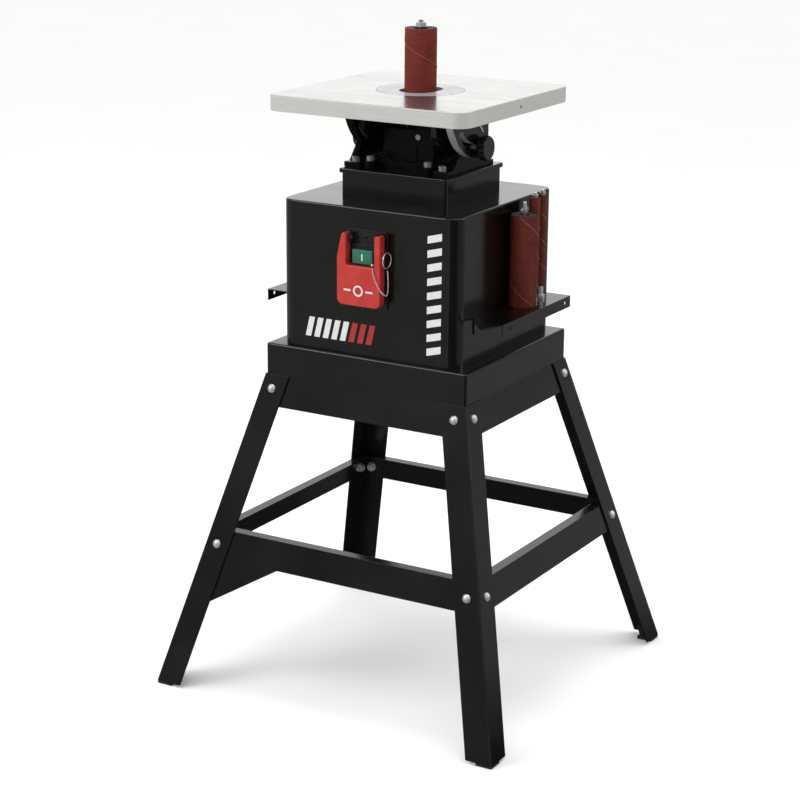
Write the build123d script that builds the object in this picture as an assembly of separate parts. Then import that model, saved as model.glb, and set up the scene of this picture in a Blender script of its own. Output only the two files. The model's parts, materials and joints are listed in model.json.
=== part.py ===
from build123d import *
import math
import os

# Oscillating spindle sander on a splayed stand, in millimetres.
# The origin is on the floor under the spindle axis, +X is to the operator's right,
# +Y points away from the operator and +Z is up.  The switch is on the -Y face.

os.makedirs("parts", exist_ok=True)

SIDES = (-1, 1)

# table
TABLE = 368.3            # side of the square
TABLE_R = 27.0           # corner radius in plan
TABLE_Z = 1005.0         # working surface
TABLE_RIM = 25.4         # depth of the rim
TABLE_SKIN = 11.0        # plate thickness inside the rim
RIM_WALL = 9.0
UNDERSIDE = TABLE_Z - TABLE_SKIN
RIB_Z = 983.0            # lower edge of the table ribs
INSERT_R = 72.4
INSERT_T = 6.0
INSERT_HOLE_W = 61.0
INSERT_HOLE_L = 84.0

# tilt: the axis is parallel to X, just below the table surface
PIVOT_Z = 1000.0
ARC_R = 96.0
RIB_R = 98.0
SLOT_R = 80.0            # centre line of the arc slot
SLOT_HALF = 6.0
SLOT_ANGLES = (-5.0, 49.5)   # slot ends in degrees from straight down, positive to the front
STUD_R = 5.0
STUD_Z = PIVOT_Z - SLOT_R
RIGHT_ARC = (98.0, 111.0)    # x of the two faces
LEFT_ARC = (-90.0, -77.0)
TRUNNION_Y = (-80.0, 31.0)
TRUNNION_PAD_Z = 986.0       # underside of the mounting pads
TRUNNION_SCREW_R = 3.0
TRUNNION_SCREWS = [(-71.5, -62.0), (-71.5, 25.5), (81.3, -62.0), (81.3, 25.5)]
BRACKET_HALF_Y = 33.0
BRACKET_FOOT_TOP = 889.0
BRACKET_BOLT_X = {"right": 81.0, "left": -82.0}

# spindle and quill
SPINDLE_R = 6.35
SHAFT_R = 12.5
SHAFT_TAIL_R = 9.0
SLEEVE_R = 26.8
SLEEVE_L = 152.4
SLEEVE_TOP = 1106.0
SLEEVE_BOTTOM = SLEEVE_TOP - SLEEVE_L
CORE_R = 25.4
CORE_TOP = SLEEVE_TOP - 0.6
TOP_WASHER_Z = SLEEVE_TOP + 1.9
LOW_WASHER_Z = SLEEVE_BOTTOM - 3.6
STROKE = 25.4
QUILL_R = 30.0
QUILL_Z = (798.0, 915.0)
BEARING_R = 26.0
LOW_BEARING = (798.5, 813.5)
HIGH_BEARING = (899.5, 914.5)
RUN = 0.05               # radial running clearance

# cabinet, neck and head
CABINET = 332.3
CABINET_R = 24.0
CABINET_Z = 835.0
CABINET_T = 2.0
WALL = CABINET / 2       # outer faces of the cabinet walls
COVER_T = 2.0
NECK_X = 198.0
NECK_Y = 186.0
NECK_CX = 4.0            # centre, to the right of the spindle
NECK_WALL = 5.0
NECK_Z = 874.0
FLANGE_X = 203.0
FLANGE_Y = 195.0
FLANGE_Z = 881.0
BASE_HALF_X = 62.0
BASE_HALF_Y = 75.0
BASE_T = 12.0
BASE_TOP = FLANGE_Z + BASE_T
HEAD_HALF_X = 50.0
HEAD_FRONT = -38.0
HEAD_BACK = 60.0
HEAD_TOP = 982.0
HEAD_BOLT_X = 54.0
HEAD_BOLT_Y = 68.0       # shared with the bracket bolts
CAP_R = 4.0              # shank radius of the socket-head screws
CAP_HEAD_R = 6.5
CAP_HEAD_H = 8.0
STOP_X, STOP_Z = 19.9, 934.0   # screw in the front of the head
CORD_X, CORD_Z = 95, 632       # cord entry in the back cover

# stand
TRAY_X = 380.1
TRAY_Y = 352.4
TRAY_TOP = 590.5
TRAY_BOTTOM = 538.0
LEG_X = 191.1            # outer corner of a leg at TRAY_BOTTOM
LEG_Y = 178.2
SPLAY_X = 0.25167        # outward run per unit of drop
SPLAY_Y = 0.26654
SLANT_X = math.hypot(1.0, SPLAY_X)
SLANT_Y = math.hypot(1.0, SPLAY_Y)
LEG_W = 47.0
LEG_T = 3.0
LEG_BOTTOM = 5.0
LEG_EDGE = 2.2           # size of the eased outer corner
RAIL_T = 2.5
RAIL_TOP = 273.0
RAIL_BOTTOM = 225.0
FLARE_BOTTOM = 152.0
RAIL_GAP = 3.2
APRON_BOTTOM = 486.0
LIP = 18.0
BOLT_R = 4.0
BOLT_Z = (515.0, 249.0)
BOLT_INSET = 23.0

# drive
MOTOR_Y = 92.0
MOTOR_R = 62.0
MOTOR_SHAFT_R = 8.0
PULLEY_R = 30.0
PULLEY_Z = (752.0, 772.0)
WHEEL_Y = -41.0
WHEEL_Z = 720.0
WHEEL_R = 28.9
WHEEL_SHAFT_R = 5.0
WORM_R = 12.0

# switch
FRONT = -WALL
PIVOT_PIN_Y, PIVOT_PIN_Z = -180.0, 789.0
PIVOT_PIN_R = 2.0
PADDLE_Y = -190.0
LOCKOUT_X, LOCKOUT_Z = 21.9, 749.0

# storage shelves and spare drums
SHELF_Z = 665.0
SHELF_X = 227.0
SHELF_T = 2.0
SHELF_LIP = 19.0
POSTS = ((191.0, 11.0), (191.0, 47.0), (191.0, 74.0))   # large, medium and small drum
POST_R = 3.0
DRUM_BORE_R = 3.2
RAISED_DRUM_Z = SHELF_Z + 21


# ---------------------------------------------------------------------------
# helpers
# ---------------------------------------------------------------------------

def save(name, shape):
    export_step(shape, f"parts/{name}.step")


def part(build):
    """Decorator: build the piece and save it under the function's name."""
    save(build.__name__, build())
    return build


def block(x0, x1, y0, y1, z0, z1):
    centre = Pos((x0 + x1) / 2, (y0 + y1) / 2, (z0 + z1) / 2)
    return centre * Box(abs(x1 - x0), abs(y1 - y0), abs(z1 - z0))


def rod_z(x, y, z0, z1, radius):
    return Pos(x, y, (z0 + z1) / 2) * Cylinder(radius, abs(z1 - z0))


def rod_x(y, z, x0, x1, radius):
    return Pos((x0 + x1) / 2, y, z) * Rot(0, 90, 0) * Cylinder(radius, abs(x1 - x0))


def rod_y(x, z, y0, y1, radius):
    return Pos(x, (y0 + y1) / 2, z) * Rot(90, 0, 0) * Cylinder(radius, abs(y1 - y0))


def tube(z0, z1, outer, inner, x=0, y=0):
    return rod_z(x, y, z0, z1, outer) - rod_z(x, y, z0 - 1, z1 + 1, inner)


def polygon(points):
    return make_face(Polyline(*points, close=True))


def prism_x(yz_points, x0, x1):
    return extrude(polygon([(x0, y, z) for y, z in yz_points]), amount=x1 - x0, dir=(1, 0, 0))


def prism_y(xz_points, y0, y1):
    return extrude(polygon([(x, y0, z) for x, z in xz_points]), amount=y1 - y0, dir=(0, 1, 0))


def prism_z(xy_points, z0, z1):
    return extrude(polygon([(x, y, z0) for x, y in xy_points]), amount=z1 - z0, dir=(0, 0, 1))


def ruled_loft(lower, z0, upper, z1):
    """Straight-sided solid between two outlines of (x, y) points."""
    faces = [polygon([(x, y, z) for x, y in points]) for points, z in ((lower, z0), (upper, z1))]
    return loft(faces, ruled=True)


def round_box(size_x, size_y, z0, z1, radius):
    """Upright block on the Z axis with rounded vertical edges."""
    face = Pos(0, 0, z0) * RectangleRounded(size_x, size_y, radius)
    return extrude(face, amount=z1 - z0, dir=(0, 0, 1))


def hex_z(x, y, z0, z1, across_flats):
    face = Pos(x, y, z0) * RegularPolygon(across_flats / 2, 6, major_radius=False)
    return extrude(face, amount=z1 - z0, dir=(0, 0, 1))


def round_end(shape, axis, index, radius):
    """Fillet round the first (0) or last (-1) face along an axis."""
    return fillet(shape.faces().sort_by(axis)[index].edges(), radius)


def wire_along(points, radius):
    path = Spline(*points)
    return sweep(Plane(origin=path @ 0, z_dir=path % 0) * Circle(radius), path=path)


def gather(shapes):
    return Compound([solid for shape in shapes for solid in shape.solids()])


# ---------------------------------------------------------------------------
# stand
# ---------------------------------------------------------------------------

def leg_corner(z):
    """Outer corner (x, y) of the back right leg at height z."""
    drop = TRAY_BOTTOM - z
    return LEG_X + SPLAY_X * drop, LEG_Y + SPLAY_Y * drop


def leg_profile(side_x, side_y, z):
    x, y = leg_corner(z)
    ease = LEG_EDGE * 0.2929     # puts the middle point on an arc of radius LEG_EDGE
    points = [
        (x - LEG_EDGE, y), (x - ease, y - ease), (x, y - LEG_EDGE), (x, y - LEG_W),
        (x - LEG_T, y - LEG_W), (x - LEG_T, y - LEG_T), (x - LEG_W, y - LEG_T), (x - LEG_W, y),
    ]
    return [(side_x * px, side_y * py) for px, py in points]


def bolt_positions():
    """(plane on the outer face of a leg flange, grip through leg and rail) of each bolt."""
    grip_x = (LEG_T + RAIL_T) / SLANT_X + 0.02
    grip_y = (LEG_T + RAIL_T) / SLANT_Y + 0.02
    bolts = []
    for z in BOLT_Z:
        x, y = leg_corner(z)
        for side_x in SIDES:
            for side_y in SIDES:
                bolts.append((Plane(origin=(side_x * (x - BOLT_INSET), side_y * y, z),
                                    x_dir=(1, 0, 0),
                                    z_dir=(0, side_y / SLANT_Y, SPLAY_Y / SLANT_Y)), grip_y))
                bolts.append((Plane(origin=(side_x * x, side_y * (y - BOLT_INSET), z),
                                    x_dir=(0, 1, 0),
                                    z_dir=(side_x / SLANT_X, 0, SPLAY_X / SLANT_X)), grip_x))
    return bolts


BOLTS = bolt_positions()


def drill(shape):
    """Cut the holes of the bolts at the height of the shape."""
    for plane, _ in BOLTS:
        bounds = shape.bounding_box()
        if bounds.min.Z - 5 < plane.origin.Z < bounds.max.Z + 5:
            shape = shape - plane.location * Pos(0, 0, -4) * Cylinder(BOLT_R + 0.25, 24)
    return shape


for name, side_x, side_y in (("front_left", -1, -1), ("front_right", 1, -1),
                             ("back_left", -1, 1), ("back_right", 1, 1)):
    leg = ruled_loft(leg_profile(side_x, side_y, LEG_BOTTOM), LEG_BOTTOM,
                     leg_profile(side_x, side_y, TRAY_BOTTOM), TRAY_BOTTOM)
    save(f"leg_{name}", drill(leg))


@part
def foot_pads():
    plug_top, plug_w = 24.0, 22

    def plug_outline(side_x, side_y, z):
        x, y = (edge - LEG_T - 0.05 for edge in leg_corner(z))
        points = [(x, y), (x - plug_w, y), (x - plug_w, y - plug_w), (x, y - plug_w)]
        return [(side_x * px, side_y * py) for px, py in points]

    pads = []
    x, y = leg_corner(LEG_BOTTOM)
    for sx in SIDES:
        for sy in SIDES:
            plug = ruled_loft(plug_outline(sx, sy, LEG_BOTTOM), LEG_BOTTOM,
                              plug_outline(sx, sy, plug_top), plug_top)
            foot = block(sx * (x - 1.0), sx * (x - 29.0), sy * (y - 1.0), sy * (y - 29.0),
                         0, LEG_BOTTOM)
            pads.append(plug + foot)
    return gather(pads)


def half_span_x(z):
    return leg_corner(z)[0] - LEG_T - RAIL_GAP


def folded_rail(axis, side, z0, z1):
    """Sloped web behind the leg flanges with an inward lip at its top.

    Axis "y" gives a front or back rail, "x" a left or right one.
    """
    def outer_face(z):
        return leg_corner(z)["xy".index(axis)] - LEG_T

    if axis == "y":
        half = lip_half = half_span_x(z1)
    else:
        half = leg_corner(z1)[1] - LEG_T - RAIL_T - 3.4
        lip_half = half - LIP - 1
    outlines = []
    for z in (z0, z1):
        outer, inner = side * outer_face(z), side * (outer_face(z) - RAIL_T)
        outline = [(-half, outer), (half, outer), (half, inner), (-half, inner)]
        if axis == "x":
            outline = [(y, x) for x, y in outline]
        outlines.append(outline)
    web = ruled_loft(outlines[0], z0, outlines[1], z1)
    edge = outer_face(z1) - 0.2
    across = (side * edge, side * (edge - LIP))
    along = (-lip_half, lip_half)
    spans = along + across if axis == "y" else across + along
    return web + block(*spans, z1 - RAIL_T, z1)


def front_flare():
    """Downward flare of the front rail behind the left leg."""
    def outline(z):
        y = leg_corner(z)[1] - LEG_T
        left = -half_span_x(z) + 2.0
        right = -118.0 - (RAIL_BOTTOM - z) * 1.69
        return [(left, -y), (right, -y), (right, RAIL_T - y), (left, RAIL_T - y)]
    return ruled_loft(outline(FLARE_BOTTOM), FLARE_BOTTOM, outline(RAIL_BOTTOM), RAIL_BOTTOM)


for name, axis, side in (("front", "y", -1), ("back", "y", 1),
                         ("left", "x", -1), ("right", "x", 1)):
    rail = folded_rail(axis, side, RAIL_BOTTOM, RAIL_TOP)
    if name == "front":
        rail = rail + front_flare()
    save(f"rail_{name}", drill(rail))
    save(f"apron_{name}", drill(folded_rail(axis, side, APRON_BOTTOM, TRAY_BOTTOM)))


@part
def stand_bolts():
    """Carriage bolts with domed heads."""
    head_r = 7.2
    head = Pos(0, 0, 1.0) * Cylinder(head_r, 2.0)
    head = head + (Pos(0, 0, -3.0) * Sphere(8.77) & Pos(0, 0, 5) * Cylinder(head_r, 6.0))
    bolt = head + Pos(0, 0, -8) * Cylinder(BOLT_R, 16)
    return gather([plane.location * bolt for plane, _ in BOLTS])


@part
def stand_nuts():
    """Flange nuts behind the rails."""
    nuts = []
    for plane, grip in BOLTS:
        nut = Pos(0, 0, -grip - 1.0) * Cylinder(8.6, 2.0)
        nut = nut + hex_z(0, 0, -grip - 7.5, -grip - 2.0, 13.0)
        nut = nut - Pos(0, 0, -grip - 4) * Cylinder(BOLT_R, 12)
        nuts.append(plane.location * nut)
    return gather(nuts)


@part
def stand_top():
    """Folded tray that caps the stand."""
    tray = round_end(round_box(TRAY_X, TRAY_Y, TRAY_BOTTOM, TRAY_TOP, 5.0), Axis.Z, -1, 3.5)
    return tray - round_box(TRAY_X - 4, TRAY_Y - 4, TRAY_BOTTOM - 1, TRAY_TOP - 2.0, 3.0)


# ---------------------------------------------------------------------------
# cabinet and shelves
# ---------------------------------------------------------------------------

@part
def cabinet_shell():
    inside = CABINET - 2 * CABINET_T
    shell = round_end(round_box(CABINET, CABINET, TRAY_TOP, CABINET_Z, CABINET_R), Axis.Z, -1, 3.0)
    shell = shell - round_box(inside, inside, TRAY_TOP + CABINET_T, CABINET_Z - CABINET_T,
                              CABINET_R - CABINET_T)
    # openings in the floor, the top and the back wall
    floor = CABINET - 44
    shell = shell - round_box(floor, floor, TRAY_TOP - 1, TRAY_TOP + CABINET_T + 1, 8.0)
    shell = shell - rod_z(0, 0, CABINET_Z - 5, CABINET_Z + 5, 52)
    shell = shell - block(-120, 120, WALL - 5, WALL + 5, 620, 800)
    # pressed louvres in the left wall
    for z in (738, 753, 768):
        outline = [(-WALL, z - 5), (-WALL - 3.2, z - 4.2), (-WALL - 3.2, z - 3), (-WALL, z + 5)]
        shell = shell + prism_y(outline, -128, -38)
        shell = shell - block(-WALL - 2.0, -WALL + 3, -124, -42, z - 4.9, z - 2.6)
    # opening behind the switch
    return shell - block(-20, 20, FRONT - 2, FRONT + 4, 705, 765)


@part
def back_cover():
    cover = block(-132, 132, WALL, WALL + COVER_T, 608, 812)
    for i in range(6):
        cover = cover - block(-60, 60, WALL - 1, WALL + 3, 640 + i * 14, 645 + i * 14)
    return cover - rod_y(CORD_X, CORD_Z, WALL - 1, WALL + 3, 8)


def shelf():
    """Folded shelf on the right wall."""
    outline = [(WALL, -113), (198, -154), (206, -160), (213, -156), (SHELF_X, -126),
               (SHELF_X, 115), (WALL, 115)]
    plate = prism_z(outline, SHELF_Z - SHELF_T, SHELF_Z)
    plate = plate + block(SHELF_X - SHELF_T, SHELF_X, -125, 115, SHELF_Z - SHELF_LIP, SHELF_Z)
    plate = plate + block(WALL, WALL + SHELF_T, -111, 115, SHELF_Z - 26, SHELF_Z)
    for y in (-101, 97):
        plate = plate - rod_x(y, SHELF_Z - SHELF_LIP / 2, SHELF_X - 5, SHELF_X + 5, 3.6)
    for x, y in POSTS:
        plate = plate - rod_z(x, y, SHELF_Z - 5, SHELF_Z + 5, POST_R + 0.1)
    return plate


# one part used twice, turned half way round
save("shelf_right", shelf())
save("shelf_left", Rot(0, 0, 180) * shelf())


# ---------------------------------------------------------------------------
# neck, head and brackets
# ---------------------------------------------------------------------------

@part
def neck_box():
    box = round_box(NECK_X, NECK_Y, CABINET_Z, NECK_Z, 6.0)
    box = box - round_box(NECK_X - 2 * NECK_WALL, NECK_Y - 2 * NECK_WALL,
                          CABINET_Z - 1, NECK_Z + 1, 3.0)
    return Pos(NECK_CX, 0, 0) * box


@part
def neck_flange():
    plate = round_box(FLANGE_X, FLANGE_Y, NECK_Z, FLANGE_Z, 5.0)
    plate = Pos(NECK_CX, 0, 0) * round_end(plate, Axis.Z, -1, 1.5)
    return plate - rod_z(0, 0, NECK_Z - 1, FLANGE_Z + 1, 44)


@part
def head_casting():
    inset = 11      # the base stops short of its full depth, except for two front ears
    base = Pos(0, inset, 0) * round_box(2 * BASE_HALF_X, 2 * BASE_HALF_Y - 2 * inset,
                                        FLANGE_Z, BASE_TOP, 6.0)
    for x in (-HEAD_BOLT_X, HEAD_BOLT_X):
        base = base + rod_z(x, -HEAD_BOLT_Y, FLANGE_Z, BASE_TOP, 10.0)
        base = base + block(x - 10, x + 10, -HEAD_BOLT_Y, -50, FLANGE_Z, BASE_TOP)
    column = prism_x([(HEAD_FRONT, FLANGE_Z), (HEAD_FRONT, HEAD_TOP + HEAD_FRONT), (0, HEAD_TOP),
                      (HEAD_BACK, HEAD_TOP), (HEAD_BACK, FLANGE_Z)], -HEAD_HALF_X, HEAD_HALF_X)
    column = fillet(column.edges().filter_by(Axis.Z), 5.0)
    # side pockets between the ribs, as (y, z) outlines
    for outline in ([(-28, 903), (-28, 940), (-14, 954), (-14, 903)],
                    [(-4, 903), (-4, 962), (50, 962), (50, 903)]):
        pocket = prism_x(outline, 42, 60)
        column = column - pocket - mirror(pocket, Plane.YZ)
    head = base + column + rod_z(0, 0, 826, FLANGE_Z + 1, 42)
    head = head + block(-8, 17, HEAD_FRONT - 3.2, HEAD_FRONT + 2, 896, 920)
    head = head - rod_y(STOP_X, STOP_Z, HEAD_FRONT - 1, HEAD_FRONT + 5.9, 3.0)
    head = head - rod_z(0, 0, 820, 990, QUILL_R + RUN) - rod_z(0, 0, 930, 990, 34)
    for x in (-HEAD_BOLT_X, HEAD_BOLT_X):
        for y in (-HEAD_BOLT_Y, HEAD_BOLT_Y):
            head = head - rod_z(x, y, FLANGE_Z - 1, BASE_TOP + 30, CAP_R)
    return head


def bracket(x0, x1, foot_x0, foot_x1, bolt_x):
    """Trunnion bracket; x0 to x1 is its upright plate."""
    half, top = BRACKET_HALF_Y, 951
    plate = prism_x([(-half, FLANGE_Z), (half, FLANGE_Z), (half, top - 7), (half - 10, top),
                     (-half + 10, top), (-half, top - 7)], x0, x1)
    plate = plate + block(foot_x0, foot_x1, -77, 77, FLANGE_Z, BRACKET_FOOT_TOP)
    for y, side in ((-half, -1), (half, 1)):
        plate = plate + prism_x([(y - side, 888), (y + side * 26, 888), (y - side, 920)], x0, x1)
    plate = plate - rod_x(0, STUD_Z, x0 - 1, x1 + 1, STUD_R)
    for y in (-HEAD_BOLT_Y, HEAD_BOLT_Y):
        plate = plate - rod_z(bolt_x, y, FLANGE_Z - 1, BRACKET_FOOT_TOP + 1, CAP_R)
    return plate


# each upright stands on the left of its arc
save("bracket_right", bracket(86, 96.4, 70, 96.4, BRACKET_BOLT_X["right"]))
save("bracket_left", bracket(-100.0, -90.4, -99.0, -70, BRACKET_BOLT_X["left"]))


def cap_screw(x, y, z, depth):
    """Socket-head screw whose head rests at height z."""
    top = z + CAP_HEAD_H
    screw = rod_z(x, y, z, top, CAP_HEAD_R) + rod_z(x, y, z - depth, z, CAP_R)
    return screw - hex_z(x, y, top - 4, top + 1, CAP_R * 1.5)


@part
def machine_screws():
    screws = []
    for y in (-HEAD_BOLT_Y, HEAD_BOLT_Y):
        for x in BRACKET_BOLT_X.values():
            screws.append(cap_screw(x, y, BRACKET_FOOT_TOP, depth=8))
        for x in (-HEAD_BOLT_X, HEAD_BOLT_X):
            screws.append(cap_screw(x, y, BASE_TOP, depth=12))
    # shelves
    seat = WALL + SHELF_T
    for side in SIDES:
        for y in (-85, -15, 85):
            screws.append(rod_x(side * y, SHELF_Z - 15, side * seat, side * (seat + 2.8), 4.6))
    # back cover
    for x in (-124, 124):
        for z in (616, 804):
            screws.append(rod_y(x, z, WALL + COVER_T, WALL + COVER_T + 2.4, 4.0))
    # front of the head
    screws.append(rod_y(STOP_X, STOP_Z, HEAD_FRONT - 3.6, HEAD_FRONT, 4.6)
                  + rod_y(STOP_X, STOP_Z, HEAD_FRONT - 1, HEAD_FRONT + 5.5, 3.0))
    return gather(screws)


@part
def tilt_studs():
    """Studs that carry the lock knobs."""
    return gather([
        rod_x(0, STUD_Z, 86, 125.0, STUD_R) + rod_x(0, STUD_Z, 85.0, 86, 9.0),
        rod_x(0, STUD_Z, -114.0, -76.0, STUD_R) + rod_x(0, STUD_Z, -76.6, -70.6, 8.6),
    ])


def knob(x0, x1):
    """Fluted knob from its inner face x0 to its closed, rounded end x1."""
    out = 1 if x1 > x0 else -1
    flute_ring = 23.6
    grip = round_end(rod_x(0, STUD_Z, x0, x1, 20.5), Axis.X, -1 if out > 0 else 0, 3.5)
    for i in range(10):
        angle = math.radians(36 * i + 18)
        grip = grip - rod_x(flute_ring * math.cos(angle), STUD_Z + flute_ring * math.sin(angle),
                            x0 + out * 6, x1 + out, 5.2)
    grip = grip - rod_x(0, STUD_Z, x0 - out, x1 - out * 4.5, STUD_R + 0.05)
    # leave a narrow hub at the inner end
    around_hub = (rod_x(0, STUD_Z, x0 - out, x0 + out * 6, 30)
                  - rod_x(0, STUD_Z, x0 - 2 * out, x0 + out * 7, 12))
    return grip - around_hub


save("knob_right", knob(111.4, 130.0))
save("knob_left", knob(-100.4, -119.0))


# ---------------------------------------------------------------------------
# table and trunnions
# ---------------------------------------------------------------------------

@part
def table():
    rim_z = TABLE_Z - TABLE_RIM
    inside = TABLE - 2 * RIM_WALL
    top = round_end(round_box(TABLE, TABLE, rim_z, TABLE_Z, TABLE_R), Axis.Z, -1, 1.6)
    top = top - round_box(inside, inside, rim_z - 1, UNDERSIDE, TABLE_R - RIM_WALL)
    # ribs under the plate
    for side in SIDES:
        top = top + block(side * 122, side * 128, -176, 176, RIB_Z, UNDERSIDE + 1)
    top = top + block(-124, 124, 118, 124, RIB_Z, UNDERSIDE + 1)
    for side in SIDES:
        top = top + block(side * 40, side * 45, 120, 176, RIB_Z, UNDERSIDE + 1)
    # insert seat and the opening under it
    top = top - rod_z(0, 0, TABLE_Z - INSERT_T, TABLE_Z + 1, INSERT_R + 0.2)
    top = top - rod_z(0, 0, TABLE_Z - 30, TABLE_Z, 66)
    # hole in the right edge, then the trunnion screw holes
    top = top - rod_x(3, 992, TABLE / 2 - 14, TABLE / 2 + 1, 3.0)
    for x, y in TRUNNION_SCREWS:
        top = top - rod_z(x, y, UNDERSIDE - 1, UNDERSIDE + 8, TRUNNION_SCREW_R)
    return top


@part
def table_insert():
    low = TABLE_Z - INSERT_T
    slot = Pos(0, 2, low - 1) * Rot(0, 0, 90) * SlotOverall(INSERT_HOLE_L, INSERT_HOLE_W)
    return rod_z(0, 0, low, TABLE_Z, INSERT_R) - extrude(slot, amount=INSERT_T + 2, dir=(0, 0, 1))


def arc_slot(x0, x1):
    """Slot around the pivot, from just behind the bottom round to the front."""
    def at(radius, angle):
        return -radius * math.sin(angle), PIVOT_Z - radius * math.cos(angle)

    steps = 22
    start, end = (math.radians(angle) for angle in SLOT_ANGLES)
    angles = [start + (end - start) * i / steps for i in range(steps + 1)]
    outline = [at(SLOT_R + SLOT_HALF, angle) for angle in angles]
    outline += [at(SLOT_R - SLOT_HALF, angle) for angle in reversed(angles)]
    slot = prism_x(outline, x0, x1)
    for angle in (start, end):
        slot = slot + rod_x(*at(SLOT_R, angle), x0, x1, SLOT_HALF)
    return slot


def trunnion(x0, x1, rib_x0, rib_x1, window):
    """Slotted arc plate and plain rib joined by a pad under the table."""
    front, back = TRUNNION_Y
    arc = rod_x(0, PIVOT_Z, x0, x1, ARC_R) & block(x0, x1, -120, back, 800, UNDERSIDE)
    arc = arc - arc_slot(x0 - 1, x1 + 1)
    if window:
        # opening between the slot and the table, towards the front
        arc = arc - prism_x([(-66, 982), (-66, 970), (-50, 952), (-34, 947), (-24, 956),
                             (-24, 982)], x0 - 1, x1 + 1)
    pad = block(min(x0, rib_x0), max(x1, rib_x1), front, back, TRUNNION_PAD_Z, UNDERSIDE)
    rib = (rod_x(0, PIVOT_Z, rib_x0, rib_x1, RIB_R)
           & block(rib_x0, rib_x1, front, back, 905, UNDERSIDE))
    body = arc + pad + rib
    for x, y in TRUNNION_SCREWS:
        body = body - rod_z(x, y, 980, UNDERSIDE + 1, TRUNNION_SCREW_R + 0.2)
    return body


save("trunnion_right", trunnion(*RIGHT_ARC, 66, 76, window=False))
save("trunnion_left", trunnion(*LEFT_ARC, -64, -58, window=True))


@part
def trunnion_screws():
    return gather([
        rod_z(x, y, TRUNNION_PAD_Z - 7, TRUNNION_PAD_Z, 4.5)
        + rod_z(x, y, TRUNNION_PAD_Z, UNDERSIDE + 8, TRUNNION_SCREW_R)
        for x, y in TRUNNION_SCREWS])


@part
def tilt_pointer():
    """Slanted strip on the outer face of the right arc."""
    thickness = 1.2
    strip = Rot(45, 0, 0) * Box(thickness, 3.0, 17.0)
    return Pos(RIGHT_ARC[1] + thickness / 2, 6.0, 950.0) * strip


# ---------------------------------------------------------------------------
# quill, spindle and drum
# ---------------------------------------------------------------------------

@part
def quill():
    low, high = QUILL_Z
    body = rod_z(0, 0, low, high, QUILL_R)
    body = body + block(6, 27, -60, -24, low, 808)
    # bearing seats and bore
    body = body - rod_z(0, 0, low - 1, LOW_BEARING[1], BEARING_R)
    body = body - rod_z(0, 0, HIGH_BEARING[0], high + 1, BEARING_R)
    body = body - rod_z(0, 0, low - 1, high + 1, 20)
    # arm down to a yoke slotted for the crank pin of the worm wheel
    body = body + block(17, 27, -52, -32, 731, low + 1)
    body = body + block(17, 27, -62, -20, 706, 734)
    return body - block(16, 28, -58, -24, WHEEL_Z - 4.3, WHEEL_Z + 4.3)


@part
def quill_bearings():
    return gather([tube(*span, BEARING_R, SHAFT_R + 0.03) for span in (LOW_BEARING, HIGH_BEARING)])


@part
def spindle():
    shaft = rod_z(0, 0, 640, 791, SHAFT_TAIL_R)
    shaft = shaft + rod_z(0, 0, 790, SLEEVE_BOTTOM - 9, SHAFT_R)
    shaft = shaft + rod_z(0, 0, SLEEVE_BOTTOM - 9.5, LOW_WASHER_Z, 22.0)
    shaft = shaft + rod_z(0, 0, SLEEVE_BOTTOM - 4, 1115, SPINDLE_R)
    return shaft + rod_z(0, 0, 1115, 1119, 4.2)


save("drum_core", tube(SLEEVE_BOTTOM, CORE_TOP, CORE_R, SPINDLE_R + 0.05))
save("sanding_sleeve", tube(SLEEVE_BOTTOM, SLEEVE_TOP, SLEEVE_R, CORE_R))
save("arbor_washers", gather([tube(LOW_WASHER_Z, SLEEVE_BOTTOM, 21.5, SPINDLE_R),
                              tube(CORE_TOP, TOP_WASHER_Z, 12.0, SPINDLE_R)]))


@part
def spindle_nut():
    nut = hex_z(0, 0, TOP_WASHER_Z, TOP_WASHER_Z + 7, 17.0)
    taper = Cone(10.6, 8.2, 14.0, align=(Align.CENTER, Align.CENTER, Align.MIN))
    nut = nut & (Pos(0, 0, TOP_WASHER_Z) * taper)
    return nut - rod_z(0, 0, 1090, 1130, SPINDLE_R)


# ---------------------------------------------------------------------------
# drive inside the cabinet
# ---------------------------------------------------------------------------

@part
def motor_housing():
    body = round_end(rod_z(0, MOTOR_Y, 604, 742, MOTOR_R), Axis.Z, 0, 8.0)
    body = body - rod_z(0, MOTOR_Y, 622, 724, 38.6)
    body = body - rod_z(0, MOTOR_Y, 611, 743, MOTOR_SHAFT_R + 0.04)
    # grooves around the outside
    for i in range(24):
        angle = math.radians(15 * i)
        centre = Pos(MOTOR_R * math.cos(angle), MOTOR_Y + MOTOR_R * math.sin(angle), 672)
        body = body - centre * Rot(0, 0, 15 * i) * Box(5, 3.5, 90)
    return body


save("motor_rotor", rod_z(0, MOTOR_Y, 625, 721, 38) + rod_z(0, MOTOR_Y, 613, 776, MOTOR_SHAFT_R))
save("motor_pulley", tube(*PULLEY_Z, PULLEY_R, MOTOR_SHAFT_R, y=MOTOR_Y))


@part
def spindle_pulley():
    """Pulley with the worm below it."""
    body = rod_z(0, 0, *PULLEY_Z, PULLEY_R) + rod_z(0, 0, 702, 753, WORM_R)
    return body - rod_z(0, 0, 700, 774, SHAFT_TAIL_R + RUN)


@part
def worm_wheel():
    """Wheel with its shaft on the left and a crank pin on the right."""
    wheel = rod_x(WHEEL_Y, WHEEL_Z, -5, 5, WHEEL_R)
    wheel = wheel + rod_x(WHEEL_Y, WHEEL_Z, -24, -5, WHEEL_SHAFT_R)
    return wheel + rod_x(WHEEL_Y + STROKE / 2, WHEEL_Z, 5, 16.4, 4.0)


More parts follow.
